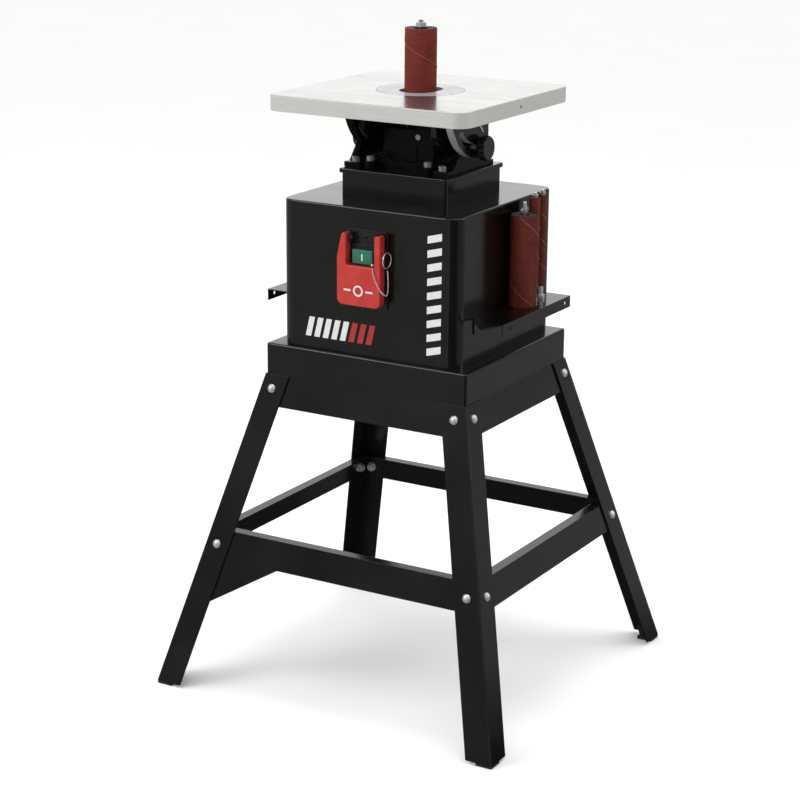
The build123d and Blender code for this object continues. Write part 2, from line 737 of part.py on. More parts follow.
@part
def drive_frame():
    plate = block(-75, 75, -70, 155, 742, 748)
    plate = plate - rod_z(0, 0, 740, 750, WORM_R + RUN) - rod_z(0, MOTOR_Y, 740, 750, 13)
    plate = plate - block(-7, 7, -64, -18, 740, 750) - block(14, 30, -66, -16, 740, 750)
    # hangers up to the cabinet top
    for x in (-66, 66):
        for y in (-60, 145):
            plate = plate + rod_z(x, y, 747, CABINET_Z - CABINET_T, 7)
    # block that carries the worm wheel shaft
    plate = plate + block(-24, -6, -53, -29, 706, 743)
    return plate - rod_x(WHEEL_Y, WHEEL_Z, -26, -5, WHEEL_SHAFT_R + 0.04)


@part
def drive_belt():
    def loop(radius):
        slot = SlotCenterToCenter(MOTOR_Y, 2 * radius)
        face = Pos(0, MOTOR_Y / 2, PULLEY_Z[0] + 2) * Rot(0, 0, 90) * slot
        return extrude(face, amount=16, dir=(0, 0, 1))
    return loop(PULLEY_R + 2.6) - loop(PULLEY_R + 0.1)


# ---------------------------------------------------------------------------
# switch on the front wall, and the cord
# ---------------------------------------------------------------------------

@part
def switch_box():
    box = block(-36, 40, FRONT - 3.0, FRONT, 672, 801)
    box = fillet(box.edges().filter_by(Axis.Y), 5.0)
    box = box + block(-23, 24.5, FRONT - 7.0, FRONT - 2.0, 700, 778)
    box = box + block(-18, 18, FRONT - 1, FRONT + 26, 708, 762)
    box = box - block(-19.3, 19.3, FRONT - 12, FRONT - 1.0, 746.6, 770.4)
    # ears that carry the paddle's pivot pins
    for x0, x1 in ((-24.6, -21.0), (22.0, 25.6)):
        box = box + block(x0, x1, FRONT - 17.0, FRONT - 2.0, 781, 797)
    box = box - rod_x(PIVOT_PIN_Y, PIVOT_PIN_Z, -40, 40, PIVOT_PIN_R)
    box = box - rod_y(LOCKOUT_X, LOCKOUT_Z, FRONT - 11, FRONT - 3.5, 1.3)
    # domed stud near the top
    dome = Pos(-2, FRONT - 3.0, 790) * Sphere(3.0)
    return box + (dome - block(-10, 10, FRONT - 2.9, FRONT + 5, 780, 800))


@part
def stop_paddle():
    def upright_edges(shape, z0, z1):
        return [edge for edge in shape.edges().filter_by(Axis.Y) if z0 < edge.center().Z < z1]

    # (x, z) outline: push face below, two arms up to the pivot
    outline = [(-43, 679), (38, 679), (38, 797), (27, 797), (27, 745), (-26, 745), (-26, 797),
               (-34, 797), (-39.5, 775), (-43, 757)]
    paddle = prism_y(outline, PADDLE_Y, PADDLE_Y + 14.5)
    for z0, z1, radius in ((0, 690, 11.0), (735, 760, 3.0), (790, 900, 3.4)):
        paddle = fillet(upright_edges(paddle, z0, z1), radius)
    paddle = round_end(paddle, Axis.Y, 0, 2.0)
    # hollow behind the push face
    paddle = paddle - block(-39, 34, PADDLE_Y + 3.5, -170, 685, 741)
    for x0, x1 in ((-27, -20.5), (21.0, 28)):
        paddle = paddle + rod_x(PIVOT_PIN_Y, PIVOT_PIN_Z, x0, x1, PIVOT_PIN_R - 0.05)
    return paddle


@part
def start_button():
    button = block(-19.0, 19.0, FRONT - 16.0, FRONT - 5.0, 747.0, 770.0)
    return round_end(button, Axis.Y, 0, 1.6)


@part
def lockout_pin():
    tip = -186.0
    return (rod_y(LOCKOUT_X, LOCKOUT_Z, tip, FRONT - 5.0, 1.2)
            + Pos(LOCKOUT_X, tip, LOCKOUT_Z) * Sphere(2.6))


@part
def key_chain():
    """Split ring and chain beside the paddle."""
    wire_r = 0.9
    chain = wire_along([(25.5, -192.5, 744.0), (31.0, -193.6, 727.0), (41.5, -192.0, 709.0),
                        (47.5, -184.0, 702.0), (49.0, -182.0, 715.0), (49.3, -183.0, 732.0),
                        (48.4, -183.0, 744.0)], wire_r)
    return gather([Pos(47.0, -183.0, 759.0) * Rot(0, 90, 0) * Torus(12.5, wire_r), chain])


@part
def power_cord():
    """Strain relief in the back cover and a hanging coil."""
    coil_r = 58
    points = [(CORD_X, WALL - 12, CORD_Z), (CORD_X, WALL + 14, CORD_Z), (96, WALL + 24, 640)]
    for i in range(29):
        angle = math.radians(-20 + 30 * i)
        points.append((38 + coil_r * math.cos(angle), WALL + 19 + 0.95 * i,
                       668 + coil_r * math.sin(angle)))
    gland = rod_y(CORD_X, CORD_Z, WALL + 2, WALL + 10, 11)
    gland = gland + rod_y(CORD_X, CORD_Z, WALL - 8, WALL + 2, 7.8)
    gland = gland - rod_y(CORD_X, CORD_Z, WALL - 10, WALL + 12, 4.2)
    return gather([wire_along(points, 3.7), gland])


# ---------------------------------------------------------------------------
# spare drums on the right shelf
# ---------------------------------------------------------------------------

for name, (x, y), z, radius in (("large", POSTS[0], SHELF_Z, 23.0),
                                ("medium", POSTS[1], RAISED_DRUM_Z, 9.4),
                                ("small", POSTS[2], RAISED_DRUM_Z, 7.6)):
    save(f"spare_drum_{name}", tube(z, z + SLEEVE_L, radius, DRUM_BORE_R, x, y))


@part
def storage_posts():
    low = SHELF_Z - 14
    posts = [rod_z(*POSTS[0], low, SHELF_Z + 172, POST_R)]
    for x, y in POSTS[1:]:
        posts.append(rod_z(x, y, low, SHELF_Z + 182, POST_R)
                     + rod_z(x, y, SHELF_Z, SHELF_Z + 6, 8.0)
                     + rod_z(x, y, SHELF_Z + 6, RAISED_DRUM_Z, 5.2))
    return gather(posts)


def wing_nut(x, y, z):
    nut = rod_z(x, y, z, z + 6.5, 4.8)
    for side in SIDES:
        nut = nut + Pos(x, y + side * 7.4, z + 7.0) * Rot(0, 90, 0) * Cylinder(4.2, 2.2)
        nut = nut + block(x - 1.1, x + 1.1, y + side * 3.4, y + side * 8.2, z + 1.8, z + 6.8)
    return nut - rod_z(x, y, 800, 860, POST_R + 0.05)


@part
def storage_nuts():
    def hex_nut(x, y, z):
        return hex_z(x, y, z, z + 5, 10.0) - rod_z(x, y, z - 1, z + 6, POST_R)

    nuts = [hex_nut(x, y, RAISED_DRUM_Z + SLEEVE_L) for x, y in POSTS[1:]]
    nuts += [hex_nut(x, y, SHELF_Z - SHELF_T - 5) for x, y in POSTS]
    nuts.append(wing_nut(*POSTS[0], SHELF_Z + SLEEVE_L))
    return gather(nuts)
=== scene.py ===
"""A spindle sander on a four-legged stand, dressed over its CAD pieces.

Metres, +Z up. The spindle axis is the Z axis, the floor is z = 0, the front faces -Y and
the right-hand side is +X. Adds materials, abrasive sleeves, a ball chain, printed marks
and a bright studio.
"""

import json
import math
import random

import bmesh
import bpy
from mathutils import Matrix, Vector


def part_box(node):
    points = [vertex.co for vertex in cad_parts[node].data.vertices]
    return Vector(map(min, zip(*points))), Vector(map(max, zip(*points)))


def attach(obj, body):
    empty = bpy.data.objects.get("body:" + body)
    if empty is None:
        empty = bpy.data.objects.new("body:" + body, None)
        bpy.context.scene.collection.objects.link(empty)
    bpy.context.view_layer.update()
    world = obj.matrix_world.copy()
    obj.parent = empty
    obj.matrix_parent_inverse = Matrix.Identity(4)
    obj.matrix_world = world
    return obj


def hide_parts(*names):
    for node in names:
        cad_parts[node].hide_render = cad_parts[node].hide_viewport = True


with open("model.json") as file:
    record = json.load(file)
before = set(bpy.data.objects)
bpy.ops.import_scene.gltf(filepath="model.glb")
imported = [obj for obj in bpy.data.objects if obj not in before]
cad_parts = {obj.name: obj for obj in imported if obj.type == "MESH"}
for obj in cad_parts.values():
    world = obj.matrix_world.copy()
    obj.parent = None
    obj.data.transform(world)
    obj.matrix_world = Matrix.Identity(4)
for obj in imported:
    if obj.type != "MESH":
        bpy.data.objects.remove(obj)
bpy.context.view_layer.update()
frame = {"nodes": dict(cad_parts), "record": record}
NODES = frame["nodes"]
random.seed(7)
scene = bpy.context.scene

# ---------------------------------------------------------------------------
# node helpers
# ---------------------------------------------------------------------------
MIDDLE = (0.3, 0.7)     # the range most noise values fall in
UNIT = (0.0, 1.0)
FLIPPED = (1.0, 0.0)


class Nodes:
    """Shorthand for adding linked nodes to one node tree."""

    def __init__(self, tree):
        self.tree = tree

    def node(self, kind, **settings):
        made = self.tree.nodes.new(kind)
        for key, value in settings.items():
            setattr(made, key, value)
        return made

    def put(self, socket, value):
        """Link a socket, or set a plain value."""
        if isinstance(value, bpy.types.NodeSocket):
            self.tree.links.new(value, socket)
        else:
            socket.default_value = value

    def remap(self, value, span=MIDDLE, to=UNIT, **settings):
        made = self.node("ShaderNodeMapRange", **settings)
        self.put(made.inputs["Value"], value)
        for key, limit in zip(("From Min", "From Max", "To Min", "To Max"), (*span, *to)):
            made.inputs[key].default_value = limit
        return made.outputs[0]

    def math(self, operation, first, second=0.0, third=0.0):
        made = self.node("ShaderNodeMath", operation=operation)
        for socket, value in zip(made.inputs, (first, second, third)):
            self.put(socket, value)
        return made.outputs[0]

    def add(self, first, second):
        return self.math("ADD", first, second)

    def mul(self, first, second):
        return self.math("MULTIPLY", first, second)

    def vector(self, operation, first, second=None, output="Value"):
        made = self.node("ShaderNodeVectorMath", operation=operation)
        self.put(made.inputs[0], first)
        if second is not None:
            self.put(made.inputs[1], second)
        return made.outputs[output]

    def axes(self, vector):
        """The x, y and z sockets of a vector."""
        made = self.node("ShaderNodeSeparateXYZ")
        self.put(made.inputs[0], vector)
        return made.outputs

    def mix(self, factor, base, over):
        made = self.node("ShaderNodeMix", data_type="RGBA")
        self.put(made.inputs[0], factor)
        for index, color in ((6, base), (7, over)):
            self.put(made.inputs[index], (*color, 1.0) if isinstance(color, tuple) else color)
        return made.outputs[2]

    def ramp(self, factor, stops, tint=(1.0, 1.0, 1.0)):
        """Colour ramp through (position, brightness) stops."""
        made = self.node("ShaderNodeValToRGB")
        self.put(made.inputs[0], factor)
        elements = made.color_ramp.elements
        while len(elements) < len(stops):
            elements.new(0.5)
        for element, (position, level) in zip(elements, stops):
            element.position = position
            element.color = (*(level * channel for channel in tint), 1)
        return made.outputs[0]


materials = {}          # every Surface registers its material here by name


class Surface(Nodes):
    """A material with one Principled shader, textured in object coordinates."""

    def __init__(self, name):
        self.material = materials[name] = bpy.data.materials.new(name)
        self.material.use_nodes = True
        super().__init__(self.material.node_tree)
        self.tree.nodes.clear()
        self.out = self.node("ShaderNodeOutputMaterial")
        self.shader = self.node("ShaderNodeBsdfPrincipled")
        self.put(self.out.inputs[0], self.shader.outputs[0])
        self.object_place = self.node("ShaderNodeTexCoord").outputs["Object"]

    def mapping(self, scale=(1, 1, 1), shift=(0, 0, 0)):
        made = self.node("ShaderNodeMapping")
        self.put(made.inputs[0], self.object_place)
        made.inputs["Location"].default_value = shift
        made.inputs["Scale"].default_value = scale
        return made.outputs[0]

    def noise(self, scale, detail=3.0, rough=0.5, place=None):
        made = self.node("ShaderNodeTexNoise")
        self.put(made.inputs["Vector"], place or self.object_place)
        made.inputs["Scale"].default_value = scale
        made.inputs["Detail"].default_value = detail
        made.inputs["Roughness"].default_value = rough
        return made.outputs["Fac"]

    def stretched(self, scale, detail=3.0, rough=0.6, shift=(0, 0, 0)):
        """Noise with its own scale on each axis, for streaks and tool lines."""
        place = self.mapping(scale, shift)
        return self.noise(scale=1.0, detail=detail, rough=rough, place=place)

    def voronoi(self, scale, place=None, output="Distance"):
        made = self.node("ShaderNodeTexVoronoi")
        self.put(made.inputs["Vector"], place or self.object_place)
        made.inputs["Scale"].default_value = scale
        return made.outputs[output]

    def vary(self, noise, low, high):
        """Drift between two colours along a noise."""
        return self.mix(self.remap(noise), low, high)

    def bevel(self, radius):
        made = self.node("ShaderNodeBevel", samples=4)
        made.inputs["Radius"].default_value = radius
        return made.outputs[0]

    def bump(self, height, strength, distance, normal=None):
        made = self.node("ShaderNodeBump")
        self.put(made.inputs["Height"], height)
        made.inputs["Strength"].default_value = strength
        made.inputs["Distance"].default_value = distance
        if normal is not None:
            self.put(made.inputs["Normal"], normal)
        return made.outputs[0]

    def wear(self, bevel, facing, scale, span, most):
        """Patchy edge wear: found where the rounded normal leaves the true one."""
        normal = self.node("ShaderNodeNewGeometry").outputs["Normal"]
        edge = self.remap(self.vector("DOT_PRODUCT", bevel, normal), span=facing, to=FLIPPED)
        patches = self.noise(scale=scale, rough=0.7)
        return self.mul(edge, self.remap(patches, span=span, to=(0.0, most)))

    def upward(self):
        return self.axes(self.node("ShaderNodeNewGeometry").outputs["Normal"])[2]

    def finish(self, **values):
        inputs = {"color": "Base Color", "metal": "Metallic", "rough": "Roughness",
                  "ior": "IOR", "normal": "Normal", "spec": "Specular IOR Level"}
        for key, value in values.items():
            self.put(self.shader.inputs[inputs[key]], value)


# ---------------------------------------------------------------------------
# materials
# ---------------------------------------------------------------------------
PAINT_LOW = (0.002, 0.002, 0.002)
PAINT_HIGH = (0.005, 0.005, 0.0047)


def powder_coat(name, low=(0.0012, 0.0012, 0.0011), high=(0.0032, 0.0032, 0.0028),
                rough=(0.10, 0.2), peel=0.10):
    """Gloss black powder coat: orange peel, faint dust on ledges, edges rubbed a little."""
    mat = Surface(name)
    rubbed = (0.05, 0.05, 0.048)
    dusty = (0.22, 0.20, 0.17)
    broad = mat.noise(scale=9.0, detail=4.0, rough=0.55)
    fine = mat.noise(scale=160.0, rough=0.6)
    bevel = mat.bevel(radius=0.0009)
    wear = mat.wear(bevel, facing=(0.85, 0.999), scale=70.0, span=(0.5, 0.72), most=0.6)
    color = mat.mix(wear, mat.vary(broad, low, high), rubbed)
    dust = mat.mul(mat.remap(mat.upward(), span=(0.8, 1.0)),
                   mat.remap(fine, span=(0.5, 0.75), to=(0.0, 0.035)))
    color = mat.mix(dust, color, dusty)
    gloss = mat.remap(broad, span=(0.3, 0.72), to=rough)
    gloss = mat.add(gloss, mat.mul(mat.remap(fine, span=(0.4, 0.7)), 0.04))
    gloss = mat.add(gloss, mat.mul(wear, 0.25))
    height = mat.add(mat.noise(scale=520.0, detail=2.0),
                     mat.mul(mat.noise(scale=190.0, detail=2.0), 1.2))
    mat.finish(color=color, rough=gloss, ior=1.5,
               normal=mat.bump(height, strength=peel, distance=0.00022, normal=bevel))


def cast_paint(name, low=PAINT_LOW, high=PAINT_HIGH, ior=1.5):
    """Satin paint over a sand-cast surface."""
    mat = Surface(name)
    rubbed = (0.10, 0.10, 0.098)
    grain = mat.noise(scale=420.0, detail=5.0, rough=0.65)
    broad = mat.noise(scale=28.0)
    bevel = mat.bevel(radius=0.0012)
    wear = mat.wear(bevel, facing=(0.8, 0.995), scale=120.0, span=(0.48, 0.66), most=0.55)
    mat.finish(color=mat.mix(wear, mat.vary(broad, low, high), rubbed),
               rough=mat.remap(grain, to=(0.15, 0.30)), ior=ior,
               normal=mat.bump(grain, strength=0.22, distance=0.0004, normal=bevel))


def machined_table(name):
    """Ground cast iron: long grinding lines and small pits, with a duller, paler milled rim."""
    mat = Surface(name)
    line_color = (0.335, 0.331, 0.318)
    pit_color = (0.35, 0.34, 0.32)
    lines = mat.stretched(scale=(12.0, 900.0, 900.0))
    cross = mat.stretched(scale=(700.0, 25.0, 600.0), detail=2.0, rough=0.5)
    cloud = mat.noise(scale=7.0, detail=4.0, rough=0.6)
    pits = mat.voronoi(scale=420.0)
    ground = mat.vary(cloud, low=(0.385, 0.380, 0.366), high=(0.435, 0.430, 0.416))
    ground = mat.mix(mat.remap(lines, span=(0.35, 0.65), to=(0.0, 0.25)), ground, line_color)
    ground = mat.mix(mat.remap(pits, span=(0.0, 0.09), to=(0.35, 0.0)), ground, pit_color)
    bevel = mat.bevel(radius=0.0008)
    gloss = mat.add(mat.remap(cloud, to=(0.16, 0.23)), mat.mul(mat.remap(lines), 0.07))
    height = mat.add(lines, mat.mul(cross, 0.35))
    top = mat.remap(mat.upward(), span=(0.55, 0.9))
    rim = mat.vary(mat.stretched(scale=(40.0, 40.0, 1400.0)),
                   low=(0.43, 0.428, 0.412), high=(0.51, 0.507, 0.49))
    mat.finish(color=mat.mix(top, rim, ground), metal=mat.remap(top, span=UNIT, to=(0.30, 0.97)),
               rough=mat.add(gloss, mat.remap(top, span=UNIT, to=(0.22, 0.0))), spec=0.4,
               normal=mat.bump(height, strength=0.10, distance=0.00005, normal=bevel))


def turned_metal(name, low, high, rough=(0.18, 0.30), metal=1.0):
    """Turned metal: concentric tool marks about the object's Z axis."""
    mat = Surface(name)
    axis_x, axis_y = 0, 0
    x, y, z = mat.axes(mat.object_place)
    x_off = mat.math("SUBTRACT", x, axis_x)
    y_off = mat.math("SUBTRACT", y, axis_y)
    radius = mat.math("SQRT", mat.add(mat.mul(x_off, x_off), mat.mul(y_off, y_off)))
    place = mat.node("ShaderNodeCombineXYZ")
    mat.put(place.inputs[0], radius)
    mat.put(place.inputs[1], z)
    rings = mat.noise(scale=2600.0, detail=2.0, rough=0.6, place=place.outputs[0])
    broad = mat.noise(scale=30.0)
    bevel = mat.bevel(radius=0.0005)
    mat.finish(color=mat.vary(rings, low, high), metal=metal,
               rough=mat.add(mat.remap(broad, to=rough), mat.mul(rings, 0.05)),
               normal=mat.bump(rings, strength=0.12, distance=0.00006, normal=bevel))


def zinc(name, color, rough):
    """Plated steel with slightly yellowed patches."""
    mat = Surface(name)
    yellowed = (0.62, 0.60, 0.52)
    broad = mat.noise(scale=160.0, detail=4.0, rough=0.6)
    plated = mat.mix(mat.remap(broad, span=(0.35, 0.7)), tuple(c * 0.82 for c in color), color)
    patches = mat.remap(mat.noise(scale=60.0, detail=2.0), span=(0.55, 0.75), to=(0, 0.35))
    bevel = mat.bevel(radius=0.0004)
    height = mat.noise(scale=900.0, detail=2.0)
    mat.finish(color=mat.mix(patches, plated, yellowed), metal=0.72,
               rough=mat.remap(broad, to=rough),
               normal=mat.bump(height, strength=0.08, distance=0.0001, normal=bevel))


def black_oxide(name):
    mat = Surface(name)
    broad = mat.noise(scale=220.0, rough=0.6)
    bevel = mat.bevel(radius=0.0004)
    mat.finish(color=mat.vary(broad, low=(0.018, 0.018, 0.019), high=(0.045, 0.045, 0.047)),
               metal=0.7, rough=mat.remap(broad, to=(0.28, 0.45)),
               normal=mat.bump(broad, strength=0.1, distance=0.0001, normal=bevel))


def plastic(name, low, high, rubbed, rough=(0.22, 0.34), texture=0.12):
    """Moulded plastic: fine spark texture, slight flow variation, rubbed edges."""
    mat = Surface(name)
    broad = mat.noise(scale=45.0)
    bevel = mat.bevel(radius=0.0007)
    wear = mat.wear(bevel, facing=(0.85, 0.997), scale=260.0, span=(0.45, 0.7), most=0.35)
    spark = mat.noise(scale=900.0, detail=2.0)
    mat.finish(color=mat.mix(wear, mat.vary(broad, low, high), rubbed),
               rough=mat.add(mat.remap(broad, to=rough), mat.mul(spark, 0.06)), ior=1.46,
               normal=mat.bump(spark, strength=texture, distance=0.00012, normal=bevel))


def rubber(name, low=(0.010, 0.010, 0.010), high=(0.022, 0.022, 0.021)):
    mat = Surface(name)
    broad = mat.noise(scale=80.0, detail=4.0, rough=0.6)
    bevel = mat.bevel(radius=0.001)
    height = mat.noise(scale=700.0)
    mat.finish(color=mat.vary(broad, low, high), rough=mat.remap(broad, to=(0.55, 0.75)),
               normal=mat.bump(height, strength=0.25, distance=0.0002, normal=bevel), spec=0.35)


def abrasive(name, low, high, shift=0.0):
    """Packed brown-red grit with paler and darker grains and streaks."""
    mat = Surface(name)
    pale_grain = (0.29, 0.060, 0.044)
    dark_grain = (0.040, 0.008, 0.006)
    streak_color = (0.14, 0.040, 0.020)
    place = mat.mapping(shift=(shift, shift * 1.7, shift * 0.3))
    grit = mat.voronoi(scale=1500.0, place=place)
    grains = mat.node("ShaderNodeSeparateColor")
    mat.put(grains.inputs[0], mat.voronoi(scale=1500.0, place=place, output="Color"))
    red, green, blue = grains.outputs
    cloud = mat.noise(scale=26.0, detail=4.0, rough=0.6, place=place)
    streak = mat.stretched(scale=(60.0, 60.0, 8.0), shift=(shift, 0, 0))
    color = mat.mix(mat.remap(cloud, span=(0.3, 0.72)), low, high)
    color = mat.mix(mat.remap(red, span=(0.55, 1.0), to=(0.0, 0.45)), color, pale_grain)
    color = mat.mix(mat.remap(green, span=(0.7, 1.0), to=(0.0, 0.5)), color, dark_grain)
    color = mat.mix(mat.remap(streak, span=(0.5, 0.75), to=(0.0, 0.35)), color, streak_color)
    weave = mat.noise(scale=700.0, rough=0.6, place=place)
    height = mat.add(mat.mul(grit, -1.0), mat.mul(weave, 0.8))
    mat.finish(color=color, rough=mat.remap(blue, span=UNIT, to=(0.5, 0.8)), spec=0.14,
               normal=mat.bump(height, strength=0.55, distance=0.0004))


def flat_paint(name, low, high, rough):
    """Thin flat colour with sparse dark flecks."""
    mat = Surface(name)
    broad = mat.noise(scale=120.0, rough=0.6)
    fleck = mat.noise(scale=900.0, rough=0.7)
    color = mat.mix(mat.remap(fleck, span=(0.66, 0.74), to=(0, 0.5)),
                    mat.vary(broad, low, high), tuple(c * 0.35 for c in low))
    mat.finish(color=color, rough=mat.remap(fleck, to=(rough - 0.07, rough + 0.07)),
               normal=mat.bump(fleck, strength=0.08, distance=0.0001))


def machined_edges(name):
    """Painted casting, bare on faces turned away from X to the right of x = 0.097."""
    mat = Surface(name)
    grain = mat.noise(scale=420.0, detail=5.0, rough=0.65)
    broad = mat.noise(scale=28.0)
    geometry = mat.node("ShaderNodeNewGeometry").outputs
    sideways = mat.math("ABSOLUTE", mat.axes(geometry["True Normal"])[0])
    outer = mat.remap(mat.axes(geometry["Position"])[0], span=(0.0965, 0.0975))
    bare = mat.mul(mat.remap(sideways, span=(0.45, 0.6), to=FLIPPED), outer)
    turning = mat.stretched(scale=(1600.0, 60.0, 60.0))
    paint = mat.vary(broad, PAINT_LOW, PAINT_HIGH)
    metal = mat.vary(turning, low=(0.36, 0.36, 0.35), high=(0.50, 0.50, 0.485))
    bevel = mat.bevel(radius=0.0009)
    height = mat.add(mat.mul(grain, mat.remap(bare, span=UNIT, to=(1.0, 0.2))),
                     mat.mul(turning, mat.remap(bare, span=UNIT, to=(0.0, 0.5))))
    mat.finish(color=mat.mix(bare, paint, metal), metal=mat.mul(bare, 0.55), ior=1.5,
               rough=mat.add(mat.remap(grain, to=(0.12, 0.24)), mat.mul(bare, 0.12)),
               normal=mat.bump(height, strength=0.18, distance=0.0003, normal=bevel))


flat_paint("cloth_edge", low=(0.26, 0.115, 0.075), high=(0.36, 0.17, 0.115), rough=0.6)
machined_edges("machined_edges")
powder_coat("powder_coat")
powder_coat("leg_coat", low=(0.0034, 0.0034, 0.0032), high=(0.0056, 0.0056, 0.0051),
            peel=0.13, rough=(0.12, 0.22))
cast_paint("cast_black")
machined_table("table_iron")
turned_metal("insert_steel", low=(0.36, 0.36, 0.385), high=(0.42, 0.42, 0.445),
             rough=(0.24, 0.34), metal=0.35)
zinc("zinc", color=(0.70, 0.70, 0.70), rough=(0.18, 0.32))
black_oxide("black_oxide")
zinc("cap_steel", color=(0.36, 0.36, 0.36), rough=(0.10, 0.22))
cast_paint("head_cast", low=(0.0018, 0.0018, 0.0017), high=(0.0034, 0.0034, 0.0031), ior=1.22)
abrasive("abrasive", low=(0.098, 0.0115, 0.0075), high=(0.175, 0.024, 0.0165))
# darker copy of the sleeve abrasive for the spare drums: painted shade, not a different grit
abrasive("abrasive_spare", low=(0.044, 0.0048, 0.0030), high=(0.080, 0.0100, 0.0066), shift=3.1)
rubber("rubber")
turned_metal("steel", low=(0.5, 0.5, 0.5), high=(0.64, 0.64, 0.63))
cast_paint("motor_paint", low=(0.02, 0.021, 0.023), high=(0.035, 0.036, 0.038))
turned_metal("pulley_alloy", low=(0.66, 0.66, 0.67), high=(0.76, 0.76, 0.76))
cast_paint("drive_steel", low=(0.05, 0.05, 0.052), high=(0.08, 0.08, 0.082))
plastic("black_plastic", low=(0.0055, 0.0055, 0.0058), high=(0.0105, 0.0105, 0.0105),
        rubbed=(0.06, 0.06, 0.06))
plastic("red_plastic", low=(0.345, 0.022, 0.018), high=(0.40, 0.031, 0.026),
        rubbed=(0.75, 0.25, 0.2), rough=(0.18, 0.28), texture=0.06)
plastic("green_plastic", low=(0.014, 0.095, 0.058), high=(0.022, 0.125, 0.08),
        rubbed=(0.3, 0.6, 0.45), rough=(0.16, 0.26), texture=0.05)
rubber("cord")
rubber("core_rubber", low=(0.014, 0.013, 0.012), high=(0.03, 0.027, 0.024))
flat_paint("white_print", low=(0.50, 0.50, 0.495), high=(0.58, 0.58, 0.57), rough=0.32)
flat_paint("red_print", low=(0.26, 0.014, 0.014), high=(0.33, 0.022, 0.02), rough=0.3)
flat_paint("joint_line", low=(0.10, 0.105, 0.115), high=(0.16, 0.165, 0.18), rough=0.5)

# CAD nodes whose material is not the one named by their slot
OWN_MATERIAL = {
    "machined_edges": ("trunnion_right",),
    "head_cast": ("trunnion_left", "head_casting", "bracket_left", "bracket_right"),
    "cap_steel": ("machine_screws", "storage_nuts"),
    "leg_coat": ("leg_front_left", "leg_front_right", "leg_back_left", "leg_back_right",
                 "apron_front", "apron_back", "apron_left", "apron_right",
                 "rail_front", "rail_back", "rail_left", "rail_right"),
    "abrasive_spare": ("spare_drum_large", "spare_drum_medium", "spare_drum_small"),
}
material_of = {part["node"]: part["material_slot"] for part in frame["record"]["subparts"]}
for material_name, node_names in OWN_MATERIAL.items():
    material_of.update(dict.fromkeys(node_names, material_name))
for node_name, node_object in NODES.items():
    node_object.data.materials.clear()
    node_object.data.materials.append(materials[material_of[node_name]])
    for polygon in node_object.data.polygons:
        polygon.material_index = 0


# ---------------------------------------------------------------------------
# mesh helpers
# ---------------------------------------------------------------------------
def link_object(name, mesh, material):
    made = bpy.data.objects.new(name, mesh)
    scene.collection.objects.link(made)
    mesh.materials.append(material)
    return made


def smooth_object(name, verts, faces, material, body):
    mesh = bpy.data.meshes.new(name)
    mesh.from_pydata(verts, [], faces)
    mesh.update()
    made = link_object(name, mesh, materials[material])
    for polygon in mesh.polygons:
        polygon.use_smooth = True
    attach(made, body)
    return made


def from_bmesh(name, bm, material, body, sharp_degrees=None):
    """Object from a bmesh: flat shaded unless a sharp angle is given."""
    bmesh.ops.recalc_face_normals(bm, faces=bm.faces)
    mesh = bpy.data.meshes.new(name)
    bm.to_mesh(mesh)
    bm.free()
    made = link_object(name, mesh, materials[material])
    if sharp_degrees:
        for polygon in mesh.polygons:
            polygon.use_smooth = True
        mesh.set_sharp_from_angle(angle=math.radians(sharp_degrees))
    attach(made, body)
    return made


def on_circle(centre, radius, angle, z):
    return (centre[0] + radius * math.cos(angle), centre[1] + radius * math.sin(angle), z)


def half_width(low, high):
    return (high.x - low.x) / 2


def skin(bm, first, second):
    """Quads between two closed loops of vertices."""
    count = len(first)
    for i in range(count):
        k = (i + 1) % count
        bm.faces.new((first[i], first[k], second[k], second[i]))


# ---------------------------------------------------------------------------
# abrasive sleeves
# ---------------------------------------------------------------------------
LAP = 0.00042           # how proud the lap seam stands
LAP_RISE = 0.0007       # height of the slope up to the lap
LAP_FLAT = 0.82         # share of the seam width at full height
ROW_HEIGHT = 0.0011
END_ZONE = 0.0016       # height over which each end turns in
END_TURN_IN = 0.00028
END_RAGGED = 0.00010
EDGE_HALF = 0.00036     # half the height of the bare cloth edge
EDGE_STEPS = 360        # per turn


def sleeve_radius(outer, along_seam, pitch, seam_width):
    """Radius at an axial distance past the seam."""
    radius = outer - LAP
    if along_seam < seam_width:
        share = along_seam / seam_width
        radius += LAP * (1.0 if share < LAP_FLAT else max(0.0, (1.0 - share) / 0.18))
    elif pitch - along_seam < LAP_RISE:
        radius += LAP * (1.0 - (pitch - along_seam) / LAP_RISE)
    return radius


